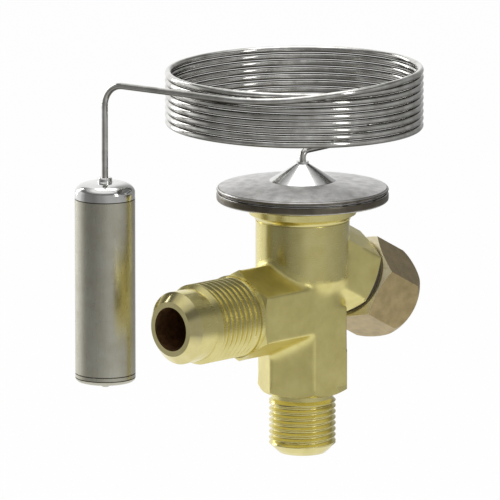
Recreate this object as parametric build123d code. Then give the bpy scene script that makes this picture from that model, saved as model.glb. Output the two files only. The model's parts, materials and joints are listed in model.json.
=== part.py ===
from build123d import *

import os
from math import acos, cos, degrees, pi, radians, sin, tan

# A thermostatic expansion valve of the flare-fitting kind: a forged brass body with an inlet
# below, an outlet to one side and an inclined setting spindle under a hexagon cap on the other,
# a steel diaphragm element on top, and a coiled capillary that ends in a sensing bulb.
# Millimetres. The origin is the centre of the inlet's end face, +Z runs up the body's column,
# the outlet points along -X and the setting spindle leans down towards +X.

os.makedirs("parts", exist_ok=True)

# ---------------------------------------------------------------- fits
SLIP = 0.03              # radial clearance of a piece pressed, screwed or brazed into a bore
RUN = 0.05               # radial clearance of a piece that slides or turns in a bore
NEAR = 0.10              # gap between a moving piece and what stops or pushes it

# ---------------------------------------------------------------- brass body
INLET_THREAD_R = 7.94    # 5/8-18 flare thread, for 3/8 in tube
INLET_NOSE_R = 5.70      # small end of the inlet's 45 degree flare cone
INLET_THREAD_LEN = 11.0
INLET_RELIEF_LEN = 1.5   # plain undercut between the thread and the block
RELIEF_DEPTH = 0.70
INLET_BORE_R = 4.75      # holds the orifice holder and the strainer
INLET_BORE_DEPTH = 26.0
PORT_R = 3.2             # liquid port between the orifice and the outlet

BLOCK_AF = 19.0          # across flats of the lower block
EDGE_TURN = 30.0         # angle of the turned chamfer on every hexagon, degrees
EDGE_INSET = 0.14        # how far inside the flats that chamfer ends
OUTLET_RISE = 21.16      # outlet axis above the block's underside
COLUMN_R = 11.15
COLUMN_FOOT = 4.2        # where the round column starts, above the outlet axis
COLUMN_FOOT_LEN = 2.2    # height of the cone that widens it there
COLUMN_RISE = 20.2       # outlet axis up to the groove under the collar
GROOVE_LEN = 0.35
GROOVE_DEPTH = 0.30
BEAD_R = 11.35           # turned ring above the groove
BEAD_LEN = 1.3
COLLAR_R = 13.0          # land that carries the element
COLLAR_FLARE_LEN = 1.5
COLLAR_LAND_LEN = 1.5

OUTLET_ARM_AF = 19.0
OUTLET_ARM_LEN = 22.2    # column axis to the end of the arm's hexagon
OUTLET_SHOULDER_R = 9.85
OUTLET_SHOULDER_LEN = 1.0
OUTLET_THREAD_R = 9.525  # 3/4-16 flare thread, for 1/2 in tube
OUTLET_THREAD_LEN = 13.4
OUTLET_PILOT_R = 8.60    # plain pilot past the thread
OUTLET_PILOT_LEN = 5.2
OUTLET_NOSE_R = 6.50     # small end of the outlet's 45 degree flare cone
OUTLET_BORE_R = 5.20
OUTLET_BORE_DEPTH = 24.0
OUTLET_PORT_R = 4.20

SPINDLE_TILT = 28.0      # spindle axis below the horizontal, degrees
SPINDLE_RISE = 12.7      # where that axis crosses the column, above the outlet axis
BOSS_AF = 19.0
BOSS_LEN = 17.2          # column axis to the boss's end, along the spindle
NECK_R = 8.0             # M16 x 1.5 thread under the cap
NECK_LEN = 10.0
GLAND_BORE_R = 6.0
GLAND_BORE_DEPTH = 13.0

CHAMBER_R = 7.2          # spring chamber inside the column
WEB = 2.3                # brass left between the outlet port and the chamber
PAD_RECESS_DEPTH = 1.3

# ---------------------------------------------------------------- orifice set
HOLDER_LEN = 17.5
HOLDER_CHAMBER_R = 3.1
SEAT_R = 1.30            # orifice bore
SEAT_LEN = 3.0
SEAL_THICK = 0.5
CONE_R = 2.2
CONE_LEN = 3.3
CONE_TIP_R = 1.05
CONE_TAPER_LEN = 1.45
CONE_ENTRY = 0.28        # how far the cone's tip enters the orifice when shut
CONE_SPRING_R = 2.2
CONE_SPRING_WIRE = 0.5
CONE_SPRING_TURNS = 4
CONE_SPRING_LEN = 6.0
CUP_FLOOR = 1.2
CUP_BORE_R = 1.2
STRAINER_RING_LEN = 1.0
STRAINER_R = 3.7
STRAINER_WALL = 0.35
STRAINER_LEN = 5.6
STRAINER_RIBS = 8        # open windows round the strainer's cage
STRAINER_WINDOW = 1.7

# ---------------------------------------------------------------- stem and setting
ROD_R = 1.0
ROD_SOCKET = 2.0         # depth of the rod in the pad's hub
BUSH_R = 2.5
BUSH_FLANGE_R = 3.4
BUSH_FLANGE = 0.8
BUSH_REACH = 0.5         # how far the bush hangs into the outlet port
SPRING_SEAT_R = 6.9
SPRING_SEAT_PLATE = 1.5
SPRING_SEAT_HUB = 1.5
SPRING_SEAT_BORE_R = 1.35
SPRING_R = 5.3           # mean radius of the superheat spring
SPRING_WIRE = 1.3
SPRING_TURNS = 3.5
SPRING_LEN = 8.7
PAD_HUB_R = 6.4
PAD_DISC_R = 10.9
PAD_DISC = 1.7

SPINDLE_R = 3.0          # M6 x 1 thread
SPINDLE_TIP_R = 1.75
SPINDLE_TIP_AT = 5.36    # ball centre, from the column axis along the spindle
SPINDLE_SHANK_END = 8.5
SPINDLE_DRIVE_LEN = 4.0
SPINDLE_DRIVE_AF = 5.0
SPINDLE_END_GAP = 1.5    # spindle's end, inside the neck's mouth
SLOT_WIDTH = 1.0
SLOT_DEPTH = 1.4
SEAL_RING_R = 5.6
SEAL_RING_LEN = 2.2
WASHER_LEN = 0.8
GLAND_LEN = 4.6
GLAND_SOCKET_AF = 8.0
GLAND_SOCKET_DEPTH = 2.2

GASKET_LEN = 1.4
GASKET_R = 8.9
CAP_AF = 20.0
CAP_LEN = 15.3
CAP_BORE_DEPTH = 11.5
CAP_CORNER_TURN = 13.0   # turn of the cap's corners about its own axis, degrees
CAP_NEAR_TURN = 30.0     # chamfer angle on the cap's mouth, degrees
CAP_INSET = 0.33         # how far inside the flats that chamfer ends
CAP_FACE_R = 8.0         # flat on the cap's far end
CAP_CROWN = 4.6          # height of the rounding at the far end
CAP_BULGE = 0.62         # where the rounding's middle lies, as a share of its width and height

# ---------------------------------------------------------------- element
ELEMENT_R = 20.4
COVER = 0.9              # sheet thickness of the two covers
LOWER_RIM = 2.1          # height of the lower cover's rim
UPPER_RIM = 0.95
RIM_WIDTH = 2.9
RIM_EDGE = 0.4           # rounding of both rims
RIM_GROOVE = 0.35        # depth of the weld groove between the rims
DIAPHRAGM = 0.2
CROWN = 1.6              # rise of the upper cover from its rim to its middle
CROWN_BULGE = 0.18
CONE_BASE_R = 7.9        # brazed cone round the capillary
CONE_RISE = 4.0
CONE_TOP_R = 1.45
CONE_LIP = 0.6

# ---------------------------------------------------------------- capillary and bulb
TUBE_R = 0.775
COIL_R = 29.8            # to the middle of the tube
COIL_PITCH = 1.64
COIL_TURNS = 8.1
COIL_LIFT = 18.3         # coil's first turn above the element's land
COIL_SHIFT = (-1.4, 1.4)   # coil axis from the column axis
COIL_START = -35.0       # bearing of the coil's first point, degrees from +X
RISER = 4.0              # straight tube above the brazed cone
RISER_BEND = 1.6
FEED_LEVEL_LEN = 9.0     # nearly level tube after the riser, before the feed climbs
FEED_LEVEL_RISE = 0.6
FEED_BEND = 8.0
FEED_RUN = 14.0          # straight tube that leads on to the coil's first turn
DROP_TURN = 100.0        # way round the coil's outside on which the tube comes down, degrees
DROP = 2.4               # how far it comes down there
DROP_GAP = 0.1           # between that stretch and the turns that it passes
DROP_BEND = 25.0
LEG_RUN = 32.4           # straight tube that leaves the coil towards the bulb
LEG_BEND = 5.2
LEG_DROP = 23.5

BULB_R = 7.15
BULB_LEN = 49.0
BULB_WALL = 0.7
TOP_CAP_LEN = 5.0
TOP_CAP_SKIRT = 1.5
TOP_CAP_FLAT_R = 3.2
TOP_HUB_R = 1.7
TOP_HUB_LEN = 1.1
BOTTOM_CAP_LEN = 2.0
BOTTOM_EDGE = 1.0
NIB_R = 1.5
NIB_LEN = 1.5

# ---------------------------------------------------------------- worked-out levels and places
INLET_CONE = INLET_THREAD_R - INLET_NOSE_R
THREAD_TOP = INLET_CONE + INLET_THREAD_LEN
BLOCK_Z = THREAD_TOP + INLET_RELIEF_LEN
OUTLET_Z = BLOCK_Z + OUTLET_RISE
GROOVE_Z = OUTLET_Z + COLUMN_RISE
BEAD_Z = GROOVE_Z + GROOVE_LEN
FLARE_Z = BEAD_Z + BEAD_LEN
LAND_Z = FLARE_Z + COLLAR_FLARE_LEN + COLLAR_LAND_LEN
CHAMBER_Z = OUTLET_Z + OUTLET_PORT_R + WEB
RECESS_Z = LAND_Z - PAD_RECESS_DEPTH
DIAPHRAGM_Z = LAND_Z + LOWER_RIM

TILT = radians(SPINDLE_TILT)
AXIS_S = Vector(cos(TILT), 0, -sin(TILT))
SPINDLE_Z = OUTLET_Z + SPINDLE_RISE
SPINDLE_FRAME = Plane(origin=(0, 0, SPINDLE_Z), x_dir=(sin(TILT), 0, cos(TILT)), z_dir=AXIS_S)
OUTLET_FRAME = Plane(origin=(0, 0, OUTLET_Z), x_dir=(0, 0, 1), z_dir=(-1, 0, 0))
NECK_END = BOSS_LEN + NECK_LEN
GLAND_FLOOR = NECK_END - GLAND_BORE_DEPTH
PAD_RECESS_R = PAD_DISC_R + 4 * NEAR

SEAL_Z = INLET_BORE_DEPTH - SEAL_THICK
HOLDER_Z = SEAL_Z - HOLDER_LEN
SEAT_Z = SEAL_Z - SEAT_LEN
CONE_TOP_Z = SEAT_Z + CONE_ENTRY
CONE_Z = CONE_TOP_Z - CONE_TAPER_LEN - CONE_LEN
CONE_SPRING_Z = CONE_Z - CONE_SPRING_LEN

SPRING_SEAT_Z = SPINDLE_Z - SPINDLE_TIP_AT * sin(TILT) + SPINDLE_TIP_R + NEAR
SPRING_Z = SPRING_SEAT_Z + SPRING_SEAT_PLATE
PAD_Z = SPRING_Z + SPRING_LEN
UPPER_Z = DIAPHRAGM_Z + DIAPHRAGM
CROWN_Z = UPPER_Z + UPPER_RIM + CROWN
CONE_APEX_Z = CROWN_Z + CONE_RISE
COIL_Z = LAND_Z + COIL_LIFT


# ---------------------------------------------------------------- shapes used throughout
def lathe(*corners, frame=Plane.XY):
    """A turned solid. The corners are (radius, height) pairs in order round half its section."""
    outline = Polyline(*[(r, 0, h) for r, h in corners], close=True)
    return frame.location * revolve(make_face(outline), Axis.Z)


def bar(radius, low, high, frame=Plane.XY):
    """A round bar along the frame's Z from one height to another."""
    return lathe((0, low), (radius, low), (radius, high), (0, high), frame=frame)


def ring(inner, outer, low, high, frame=Plane.XY):
    """A plain ring round the frame's Z."""
    return lathe((inner, low), (outer, low), (outer, high), (inner, high), frame=frame)


def corner_radius(across_flats):
    return across_flats / 2 / cos(pi / 6)


def hexagon(across_flats, low, high, turn=0.0, frame=Plane.XY):
    """A hexagon bar along the frame's Z, with two corners on the frame's X before its turn."""
    face = RegularPolygon(corner_radius(across_flats), 6, rotation=turn)
    return frame.location * Pos(0, 0, low) * extrude(face, high - low)


def chamfered_hexagon(across_flats, low, high, lower=False, upper=False, turn=0.0,
                      angle=EDGE_TURN, frame=Plane.XY):
    """A hexagon bar whose ends are turned off at an angle, which leaves arcs on its flats."""
    reach = corner_radius(across_flats) + NEAR
    land = across_flats / 2 - EDGE_INSET
    cut = (reach - land) * tan(radians(angle))
    corners = [(0, low), (land, low), (reach, low + cut)] if lower else [(0, low), (reach, low)]
    corners += [(reach, high - cut), (land, high), (0, high)] if upper else [(reach, high), (0, high)]
    return hexagon(across_flats, low, high, turn, frame) & lathe(*corners, frame=frame)


def arc_piece(section, start, centre, axis, angle):
    """The solid that a flat section sweeps when it turns about an axis through a centre."""
    radial = (start - centre).normalized()
    tangent = axis.cross(radial)
    face = Plane(origin=start, x_dir=radial, z_dir=tangent) * section
    return revolve(face, Axis(centre, axis), angle)


def turned_about(point, centre, axis, angle):
    """A point turned about an axis through a centre, by an angle in degrees."""
    return centre + (point - centre).rotate(Axis((0, 0, 0), axis), angle)


def coil(section, centre, radius, pitch, turns, bearing, hand):
    """A coil of half turns that meet without a kink. Each is a flat half circle, tilted so that
    it climbs half a pitch. Returns its pieces, its last point and its heading there."""
    angle = radians(bearing)
    point = centre + Vector(radius * cos(angle), radius * sin(angle), 0)
    pieces, left = [], turns * 2
    while left > 0:
        middle = Vector(centre.X, centre.Y, point.Z + pitch / 4)
        flat = Vector(point.X - middle.X, point.Y - middle.Y, 0).normalized()
        heading = Vector(0, 0, hand).cross(flat)
        axis = (point - middle).cross(heading).normalized()
        sweep_angle = 180 * min(1, left)
        pieces.append(arc_piece(section, point, middle, axis, sweep_angle))
        point = turned_about(point, middle, axis, sweep_angle)
        direction = axis.cross(point - middle).normalized()
        left -= 1
    return pieces, point, direction


def bent_bar(points, bends, radius):
    """Pieces of a round bar that follows straight runs, with a bend of its own at each corner."""
    pieces, start = [], points[0]
    for i, bend in enumerate(bends, 1):
        into = (points[i] - points[i - 1]).normalized()
        out = (points[i + 1] - points[i]).normalized()
        turn = acos(into.dot(out))
        trim = bend * tan(turn / 2)
        pieces.append(straight_bar(start, points[i] - into * trim, radius))
        start = points[i] - into * trim
        inward = (out - into * cos(turn)).normalized()
        axis = into.cross(out).normalized()
        pieces.append(arc_piece(Circle(radius), start, start + inward * bend, axis, degrees(turn)))
        start = points[i] + out * trim
    pieces.append(straight_bar(start, points[-1], radius))
    return pieces


def straight_bar(start, end, radius):
    run = end - start
    return extrude(Plane(origin=start, z_dir=run.normalized()) * Circle(radius), run.length)


def joined(pieces):
    """One solid from pieces that meet face to face."""
    whole = pieces[0]
    for piece in pieces[1:]:
        whole = whole + piece
    return whole


# ---------------------------------------------------------------- brass body
def inlet_end():
    root = INLET_THREAD_R - RELIEF_DEPTH
    return lathe((0, 0), (INLET_NOSE_R, 0), (INLET_THREAD_R, INLET_CONE),
                 (INLET_THREAD_R, THREAD_TOP - RELIEF_DEPTH), (root, THREAD_TOP),
                 (root, BLOCK_Z), (root, BLOCK_Z + WEB), (0, BLOCK_Z + WEB))


def column():
    """The round column, its cone foot, the groove and the collar that carries the element."""
    foot = OUTLET_Z + COLUMN_FOOT
    groove_r = COLUMN_R - GROOVE_DEPTH
    return lathe((0, OUTLET_Z), (BLOCK_AF / 2, OUTLET_Z), (BLOCK_AF / 2, foot),
                 (COLUMN_R, foot + COLUMN_FOOT_LEN), (COLUMN_R, GROOVE_Z), (groove_r, GROOVE_Z),
                 (groove_r, BEAD_Z), (BEAD_R, BEAD_Z), (BEAD_R, FLARE_Z),
                 (COLLAR_R, FLARE_Z + COLLAR_FLARE_LEN), (COLLAR_R, LAND_Z), (0, LAND_Z))


def outlet_arm():
    """The outlet's hexagon, shoulder, thread, pilot and flare cone, built along its own axis."""
    shoulder = OUTLET_ARM_LEN + OUTLET_SHOULDER_LEN
    thread = shoulder + OUTLET_THREAD_LEN
    pilot = thread + OUTLET_PILOT_LEN
    cone = OUTLET_PILOT_R - OUTLET_NOSE_R
    step = OUTLET_THREAD_R - OUTLET_PILOT_R
    end = lathe((0, 0), (OUTLET_SHOULDER_R, 0), (OUTLET_SHOULDER_R, shoulder),
                (OUTLET_THREAD_R, shoulder), (OUTLET_THREAD_R, thread - step),
                (OUTLET_PILOT_R, thread), (OUTLET_PILOT_R, pilot), (OUTLET_NOSE_R, pilot + cone),
                (0, pilot + cone), frame=OUTLET_FRAME)
    flats = chamfered_hexagon(OUTLET_ARM_AF, 0, OUTLET_ARM_LEN, upper=True, frame=OUTLET_FRAME)
    inside = hexagon(OUTLET_ARM_AF, 0, OUTLET_ARM_LEN, frame=OUTLET_FRAME)
    outside = bar(OUTLET_SHOULDER_R, OUTLET_ARM_LEN, pilot + cone, frame=OUTLET_FRAME)
    return flats + (end & (inside + outside)), pilot + cone


def spindle_boss():
    """The inclined hexagon boss and the threaded neck that the cap screws on to."""
    flats = chamfered_hexagon(BOSS_AF, 0, BOSS_LEN, upper=True, frame=SPINDLE_FRAME)
    lead = RELIEF_DEPTH
    neck = lathe((0, BOSS_LEN), (NECK_R, BOSS_LEN), (NECK_R, NECK_END - lead),
                 (NECK_R - lead, NECK_END), (0, NECK_END), frame=SPINDLE_FRAME)
    return flats + neck


def valve_body():
    outlet, outlet_end = outlet_arm()
    block = chamfered_hexagon(BLOCK_AF, BLOCK_Z, OUTLET_Z, lower=True)
    solid = inlet_end() + block + column() + outlet + spindle_boss()
    solid -= bar(INLET_BORE_R, 0, INLET_BORE_DEPTH)
    solid -= bar(PORT_R, INLET_BORE_DEPTH, OUTLET_Z)
    solid -= bar(OUTLET_BORE_R, outlet_end - OUTLET_BORE_DEPTH, outlet_end, frame=OUTLET_FRAME)
    solid -= bar(OUTLET_PORT_R, -OUTLET_PORT_R, outlet_end, frame=OUTLET_FRAME)
    solid -= bar(CHAMBER_R, CHAMBER_Z, LAND_Z)
    solid -= bar(PAD_RECESS_R, RECESS_Z, LAND_Z)
    solid -= bar(BUSH_R, OUTLET_Z, CHAMBER_Z)
    solid -= bar(SPINDLE_R + RUN, SPINDLE_TIP_AT, GLAND_FLOOR, frame=SPINDLE_FRAME)
    solid -= bar(GLAND_BORE_R, GLAND_FLOOR, NECK_END, frame=SPINDLE_FRAME)
    return solid


# ---------------------------------------------------------------- orifice set
def orifice_seal():
    return ring(PORT_R + RUN, INLET_BORE_R - SLIP, SEAL_Z, INLET_BORE_DEPTH)


def orifice_holder():
    outer = INLET_BORE_R - SLIP
    return lathe((SEAT_R, SEAL_Z), (outer, SEAL_Z), (outer, HOLDER_Z), (HOLDER_CHAMBER_R, HOLDER_Z),
                 (HOLDER_CHAMBER_R, SEAT_Z), (SEAT_R, SEAT_Z))


def valve_cone():
    return lathe((0, CONE_Z), (CONE_R, CONE_Z), (CONE_R, CONE_Z + CONE_LEN),
                 (CONE_TIP_R, CONE_TOP_Z), (0, CONE_TOP_Z))


def square_spring(radius, wire, turns, low, length):
    """A compression spring of square wire that stands between two faces."""
    climb = length - wire - 2 * NEAR
    centre = Vector(0, 0, low + NEAR + wire / 2)
    section = Rectangle(wire, wire)
    pieces, last, heading = coil(section, centre, radius, climb / turns, turns, 0, 1)
    return joined(pieces)


def cone_spring():
    return square_spring(CONE_SPRING_R, CONE_SPRING_WIRE, CONE_SPRING_TURNS, CONE_SPRING_Z,
                         CONE_SPRING_LEN)


def cone_spring_cup():
    """The cup pressed into the holder's mouth, which the cone's spring stands on."""
    floor = CONE_SPRING_Z - CUP_FLOOR
    return lathe((CUP_BORE_R, floor), (HOLDER_CHAMBER_R - SLIP, floor),
                 (HOLDER_CHAMBER_R - SLIP, CONE_SPRING_Z), (CUP_BORE_R, CONE_SPRING_Z))


def strainer_ring():
    """The collar pushed into the inlet's bore, against the holder."""
    return ring(STRAINER_R + SLIP, INLET_BORE_R - SLIP, HOLDER_Z - STRAINER_RING_LEN, HOLDER_Z)


def inlet_strainer():
    """A cage of brass with a closed end, and windows for its gauze."""
    top = HOLDER_Z
    low = top - STRAINER_LEN
    inner = STRAINER_R - STRAINER_WALL
    cage = lathe((0, low), (STRAINER_R, low), (STRAINER_R, top), (inner, top),
                 (inner, low + STRAINER_WALL), (0, low + STRAINER_WALL))
    span = STRAINER_LEN - STRAINER_RING_LEN - 3 * STRAINER_WALL
    for turn in range(STRAINER_RIBS):
        window = Pos(STRAINER_R, 0, low + 2 * STRAINER_WALL + span / 2) * Box(
            2 * STRAINER_R - 2 * inner + STRAINER_WALL, STRAINER_WINDOW, span)
        cage -= Rot(0, 0, 360 / STRAINER_RIBS * turn) * window
    return cage


# ---------------------------------------------------------------- stem, pad and spring
def push_rod():
    return bar(ROD_R, CONE_TOP_Z, PAD_Z + ROD_SOCKET)


def push_rod_bush():
    low = OUTLET_Z + OUTLET_PORT_R - BUSH_REACH
    return lathe((ROD_R + RUN, low), (BUSH_R - SLIP, low), (BUSH_R - SLIP, CHAMBER_Z),
                 (BUSH_FLANGE_R, CHAMBER_Z), (BUSH_FLANGE_R, CHAMBER_Z + BUSH_FLANGE),
                 (ROD_R + RUN, CHAMBER_Z + BUSH_FLANGE))


def spring_seat():
    hub_r = SPRING_R - SPRING_WIRE / 2 - 2 * NEAR
    return lathe((SPRING_SEAT_BORE_R, SPRING_SEAT_Z), (SPRING_SEAT_R, SPRING_SEAT_Z),
                 (SPRING_SEAT_R, SPRING_Z), (hub_r, SPRING_Z), (hub_r, SPRING_Z + SPRING_SEAT_HUB),
                 (SPRING_SEAT_BORE_R, SPRING_Z + SPRING_SEAT_HUB))


def superheat_spring():
    return square_spring(SPRING_R, SPRING_WIRE, SPRING_TURNS, SPRING_Z, SPRING_LEN)


def diaphragm_pad():
    """The mushroom between the diaphragm and the spring, with a socket for the push rod."""
    shoulder = DIAPHRAGM_Z - PAD_DISC
    return lathe((ROD_R + SLIP, PAD_Z), (PAD_HUB_R, PAD_Z), (PAD_HUB_R, shoulder),
                 (PAD_DISC_R, shoulder), (PAD_DISC_R, DIAPHRAGM_Z), (0, DIAPHRAGM_Z),
                 (0, PAD_Z + ROD_SOCKET), (ROD_R + SLIP, PAD_Z + ROD_SOCKET))


# ---------------------------------------------------------------- setting spindle and its cap
def setting_spindle():
    """Ball tip, plain shank, thread and a slotted square drive inside the neck."""
    frame = SPINDLE_FRAME
    end = NECK_END - SPINDLE_END_GAP
    drive = end - SPINDLE_DRIVE_LEN
    ball = frame.location * Pos(0, 0, SPINDLE_TIP_AT) * Sphere(SPINDLE_TIP_R)
    shank = bar(SPINDLE_TIP_R, SPINDLE_TIP_AT, SPINDLE_SHANK_END, frame=frame)
    thread = bar(SPINDLE_R, SPINDLE_SHANK_END, drive, frame=frame)
    square = frame.location * Pos(0, 0, drive) * extrude(
        Rectangle(SPINDLE_DRIVE_AF, SPINDLE_DRIVE_AF), SPINDLE_DRIVE_LEN)
    turned = square & bar(SPINDLE_R, drive, end, frame=frame)
    slot = frame.location * Pos(0, 0, end) * Box(SLOT_WIDTH, 3 * SPINDLE_R, 2 * SLOT_DEPTH)
    return ball + shank + thread + turned - slot


def spindle_seal_ring():
    low = GLAND_FLOOR + NEAR
    return ring(SPINDLE_R + RUN, SEAL_RING_R, low, low + SEAL_RING_LEN, frame=SPINDLE_FRAME)


def spindle_washer():
    low = GLAND_FLOOR + SEAL_RING_LEN + 2 * NEAR
    return ring(SPINDLE_R + RUN, GLAND_BORE_R - SLIP, low, low + WASHER_LEN, frame=SPINDLE_FRAME)


def spindle_gland_nut():
    low = GLAND_FLOOR + SEAL_RING_LEN + 2 * NEAR + WASHER_LEN
    high = low + GLAND_LEN
    nut = ring(SPINDLE_R + RUN, GLAND_BORE_R - SLIP, low, high, frame=SPINDLE_FRAME)
    return nut - hexagon(GLAND_SOCKET_AF, high - GLAND_SOCKET_DEPTH, high, frame=SPINDLE_FRAME)


def cap_gasket():
    low = BOSS_LEN + RUN
    return ring(NECK_R + RUN, GASKET_R, low, low + GASKET_LEN, frame=SPINDLE_FRAME)


def cap_nut():
    """The sealing cap: a hexagon with a turned mouth and a crowned far end."""
    frame = SPINDLE_FRAME
    low = BOSS_LEN + GASKET_LEN + 2 * RUN
    high = low + CAP_LEN
    reach = corner_radius(CAP_AF) + NEAR
    land = CAP_AF / 2 - CAP_INSET
    cut = (reach - land) * tan(radians(CAP_NEAR_TURN))
    waist = high - CAP_CROWN
    mid_r = CAP_FACE_R + (reach - CAP_FACE_R) * CAP_BULGE
    outline = [Line((0, 0, low), (land, 0, low)), Line((land, 0, low), (reach, 0, low + cut)),
               Line((reach, 0, low + cut), (reach, 0, waist)),
               ThreePointArc((reach, 0, waist), (mid_r, 0, waist + CAP_CROWN * CAP_BULGE),
                             (CAP_FACE_R, 0, high)),
               Line((CAP_FACE_R, 0, high), (0, 0, high)), Line((0, 0, high), (0, 0, low))]
    envelope = frame.location * revolve(make_face(outline), Axis.Z)
    blank = hexagon(CAP_AF, low, high, CAP_CORNER_TURN, frame) & envelope
    cut_in = NECK_R + RUN
    mouth = lathe((0, low), (cut_in + RELIEF_DEPTH, low), (cut_in, low + RELIEF_DEPTH),
                  (cut_in, low + CAP_BORE_DEPTH), (0, low + CAP_BORE_DEPTH), frame=frame)
    return blank - mouth


# ---------------------------------------------------------------- element
def element_lower_cover():
    """A dished ring: it sits on the body's land and its rim carries the diaphragm."""
    inner = PAD_DISC_R + 4 * NEAR
    rim = ELEMENT_R - RIM_WIDTH
    return lathe((inner, LAND_Z), (ELEMENT_R - RIM_EDGE, LAND_Z), (ELEMENT_R, LAND_Z + RIM_EDGE),
                 (ELEMENT_R, DIAPHRAGM_Z - RIM_GROOVE), (ELEMENT_R - RIM_GROOVE, DIAPHRAGM_Z),
                 (rim, DIAPHRAGM_Z), (rim - RIM_GROOVE, LAND_Z + COVER), (inner, LAND_Z + COVER))


def diaphragm():
    return bar(ELEMENT_R - 2 * RIM_GROOVE, DIAPHRAGM_Z, UPPER_Z)


def element_upper_cover():
    """The crowned upper cover, with a hole for the charge under its brazed cone."""
    rim = ELEMENT_R - RIM_WIDTH
    top = UPPER_Z + UPPER_RIM
    hole = TUBE_R + SLIP
    start, end = (ELEMENT_R - RIM_EDGE, 0, top), (CONE_BASE_R, 0, CROWN_Z)
    middle = ((start[0] + end[0]) / 2, 0, (top + CROWN_Z) / 2 + CROWN_BULGE)
    outline = [Line((rim, 0, UPPER_Z), (ELEMENT_R - RIM_GROOVE, 0, UPPER_Z)),
               Line((ELEMENT_R - RIM_GROOVE, 0, UPPER_Z), (ELEMENT_R, 0, UPPER_Z + RIM_GROOVE)),
               Line((ELEMENT_R, 0, UPPER_Z + RIM_GROOVE), (ELEMENT_R, 0, top - RIM_EDGE)),
               Line((ELEMENT_R, 0, top - RIM_EDGE), start), ThreePointArc(start, middle, end),
               Line(end, (hole, 0, CROWN_Z)), Line((hole, 0, CROWN_Z), (hole, 0, CROWN_Z - COVER)),
               Line((hole, 0, CROWN_Z - COVER), (CONE_BASE_R, 0, CROWN_Z - COVER)),
               Line((CONE_BASE_R, 0, CROWN_Z - COVER), (rim, 0, UPPER_Z))]
    return revolve(make_face(outline), Axis.Z)


def charge_cone():
    return lathe((TUBE_R + SLIP, CROWN_Z), (CONE_BASE_R, CROWN_Z), (CONE_TOP_R, CONE_APEX_Z),
                 (CONE_TOP_R, CONE_APEX_Z + CONE_LIP), (TUBE_R + SLIP, CONE_APEX_Z + CONE_LIP))


# ---------------------------------------------------------------- capillary and bulb
def round_the_outside(centre, last, heading):
    """Corners of the tube's way from the top turn down the coil's outside, and the way it leaves.
    The first straight run touches the top turn, and the next two touch the circle outside."""
    side = COIL_R + 2 * TUBE_R + DROP_GAP
    half = radians(DROP_TURN / 2)
    out = Vector(last.X - centre.X, last.Y - centre.Y, 0).normalized()
    clockwise = Axis((0, 0, 0), (0, 0, -1))
    reach = (side - COIL_R * cos(half)) / sin(half)
    corner = out.rotate(clockwise, DROP_TURN * 3 / 4) * side / cos(half / 2)
    leaving = out.rotate(clockwise, DROP_TURN)
    level = Vector(centre.X, centre.Y, last.Z - DROP)
    heading_out = Vector(0, 0, -1).cross(leaving)
    return [last + heading * reach, level + corner], level + leaving * side, heading_out


def capillary():
    """The formed tube: riser, feed, coil, the way down its outside and the leg down into the
    bulb. Returns it and the centre of the leg's lower end."""
    axis_x, axis_y = COIL_SHIFT
    centre = Vector(axis_x, axis_y, COIL_Z)
    turns, last, heading = coil(Circle(TUBE_R), centre, COIL_R, COIL_PITCH, COIL_TURNS,
                                COIL_START, -1)
    bearing = radians(COIL_START)
    first = centre + Vector(COIL_R * cos(bearing), COIL_R * sin(bearing), 0)
    along = Vector(0, 0, -1).cross((first - centre).normalized())
    tube_floor = Vector(0, 0, CROWN_Z - COVER)
    knee = Vector(0, 0, CONE_APEX_Z + CONE_LIP + RISER - RISER_BEND)
    feed = first - along * FEED_RUN
    level_end = knee + Vector(feed.X, feed.Y, 0).normalized() * FEED_LEVEL_LEN
    level_end += Vector(0, 0, FEED_LEVEL_RISE)
    feed_pieces = bent_bar([tube_floor, knee, level_end, feed, first],
                           [RISER_BEND, FEED_BEND, FEED_BEND], TUBE_R)
    corners, leaves, leg_heading = round_the_outside(centre, last, heading)
    elbow = leaves + leg_heading * LEG_RUN
    foot = elbow - Vector(0, 0, LEG_DROP)
    leg_pieces = bent_bar([last] + corners + [elbow, foot], [DROP_BEND, DROP_BEND, LEG_BEND],
                          TUBE_R)
    return joined(feed_pieces + turns + leg_pieces), foot


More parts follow.
